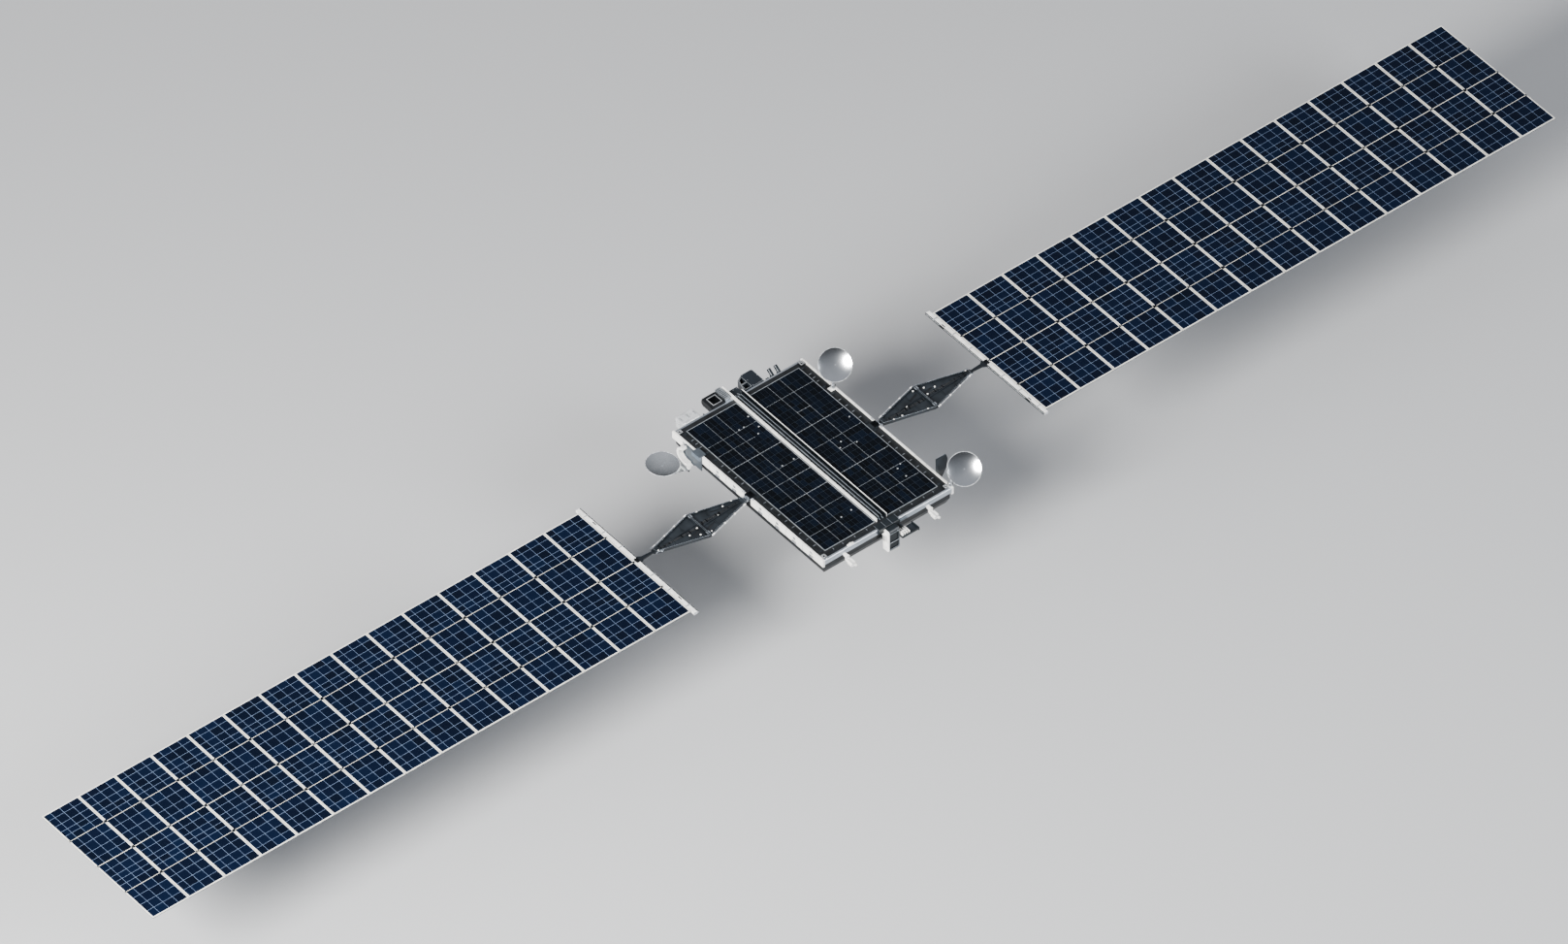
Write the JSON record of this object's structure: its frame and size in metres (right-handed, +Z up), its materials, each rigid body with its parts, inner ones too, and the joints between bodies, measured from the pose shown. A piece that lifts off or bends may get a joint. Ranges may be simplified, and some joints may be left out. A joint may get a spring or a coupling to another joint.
{
  "type": "communications satellite",
  "caption": "Flat-bus communications satellite with two long solar wings of hinged boards on folding yokes and three small gimballed dishes.",
  "frame": {"origin": "centre of the bus in plan, on the turning axis of the two solar wings", "axes": "+X along the right wing, +Y to the rear end of the bus, +Z up out of the deck"},
  "size_m": [29.508, 4.5323, 0.9393],
  "materials": {
    "bus_composite": "dark foil over aluminium honeycomb",
    "bright_rail": "white paint",
    "satin_rail": "satin",
    "deck_cells": "cover glass over dark cells",
    "antenna_face": "matt radome",
    "equipment_case": "satin",
    "dark_cover": "dark composite sheet",
    "white_fitting": "white paint",
    "solar_cells": "cover glass over navy cells",
    "reflector_skin": "polished metal"
  },
  "bodies": {
    "bus": {"bus_body": "bus_composite", "side_rails": "bright_rail", "end_rails": "satin_rail", "deck_panels": "deck_cells", "spine_rails": "bright_rail", "nadir_tiles": "antenna_face", "rear_equipment": "equipment_case", "front_cover": "dark_cover", "latch_fittings": "white_fitting", "side_fin": "dark_cover", "dish_feet": "white_fitting", "drive_housings": "satin_rail"},
    "right_drive": {"right_drive_clevis": "satin_rail"},
    "right_wing": {"right_yoke_inner": "dark_cover", "right_strut_inner": "satin_rail", "right_yoke_outer": "dark_cover", "right_strut_outer": "satin_rail", "right_root_bar": "bright_rail", "right_panel_01": "solar_cells", "right_panel_02": "solar_cells", "right_panel_03": "solar_cells", "right_panel_04": "solar_cells", "right_panel_05": "solar_cells", "right_panel_06": "solar_cells", "right_panel_07": "solar_cells", "right_panel_08": "solar_cells", "right_panel_09": "solar_cells", "right_panel_10": "solar_cells", "right_panel_11": "solar_cells", "right_panel_12": "solar_cells", "right_panel_13": "solar_cells", "right_panel_14": "solar_cells", "right_panel_15": "solar_cells"},
    "left_drive": {"left_drive_clevis": "satin_rail"},
    "left_wing": {"left_yoke_inner": "dark_cover", "left_strut_inner": "satin_rail", "left_yoke_outer": "dark_cover", "left_strut_outer": "satin_rail", "left_root_bar": "bright_rail", "left_panel_01": "solar_cells", "left_panel_02": "solar_cells", "left_panel_03": "solar_cells", "left_panel_04": "solar_cells", "left_panel_05": "solar_cells", "left_panel_06": "solar_cells", "left_panel_07": "solar_cells", "left_panel_08": "solar_cells", "left_panel_09": "solar_cells", "left_panel_10": "solar_cells", "left_panel_11": "solar_cells", "left_panel_12": "solar_cells", "left_panel_13": "solar_cells", "left_panel_14": "solar_cells", "left_panel_15": "solar_cells"},
    "gimbal_a": {"gimbal_a": "white_fitting"},
    "dish_a": {"reflector_a": "reflector_skin"},
    "gimbal_b": {"gimbal_b": "white_fitting"},
    "dish_b": {"reflector_b": "reflector_skin"},
    "gimbal_c": {"gimbal_c": "white_fitting"},
    "dish_c": {"reflector_c": "reflector_skin"}
  },
  "joints": [
    {"name": "right_drive_turn", "type": "hinge", "parent": "bus", "child": "right_drive", "pos_m": [1.3765, 0, 0], "axis": [1, 0, 0], "continuous": true},
    {"name": "right_yoke_fold", "type": "hinge", "parent": "right_drive", "child": "right_wing", "pos_m": [1.425, 0, 0], "axis": [0, -1, 0], "range_deg": [0, 90]},
    {"name": "left_drive_turn", "type": "hinge", "parent": "bus", "child": "left_drive", "pos_m": [-1.3765, 0, 0], "axis": [1, 0, 0], "continuous": true},
    {"name": "left_yoke_fold", "type": "hinge", "parent": "left_drive", "child": "left_wing", "pos_m": [-1.425, 0, 0], "axis": [0, 1, 0], "range_deg": [0, 90]},
    {"name": "dish_a_pan", "type": "hinge", "parent": "bus", "child": "gimbal_a", "pos_m": [1.319, 1.105, 0.104], "axis": [0, 0, 1], "range_deg": [-60, 60]},
    {"name": "dish_a_tilt", "type": "hinge", "parent": "gimbal_a", "child": "dish_a", "pos_m": [1.319, 1.105, 0.104], "axis": [0.7793, -0.6266, 0], "range_deg": [-20, 40]},
    {"name": "dish_b_pan", "type": "hinge", "parent": "bus", "child": "gimbal_b", "pos_m": [1.35, -1.912, 0.104], "axis": [0, 0, 1], "range_deg": [-60, 30]},
    {"name": "dish_b_tilt", "type": "hinge", "parent": "gimbal_b", "child": "dish_b", "pos_m": [1.35, -1.912, 0.104], "axis": [0.7793, -0.6266, 0], "range_deg": [-20, 40]},
    {"name": "dish_c_pan", "type": "hinge", "parent": "bus", "child": "gimbal_c", "pos_m": [-1.482, 1.395, -0.33], "axis": [0, 0, 1], "range_deg": [-10, 60]},
    {"name": "dish_c_tilt", "type": "hinge", "parent": "gimbal_c", "child": "dish_c", "pos_m": [-1.482, 1.395, -0.33], "axis": [-0.8007, -0.599, 0], "range_deg": [-10, 45]}
  ]
}
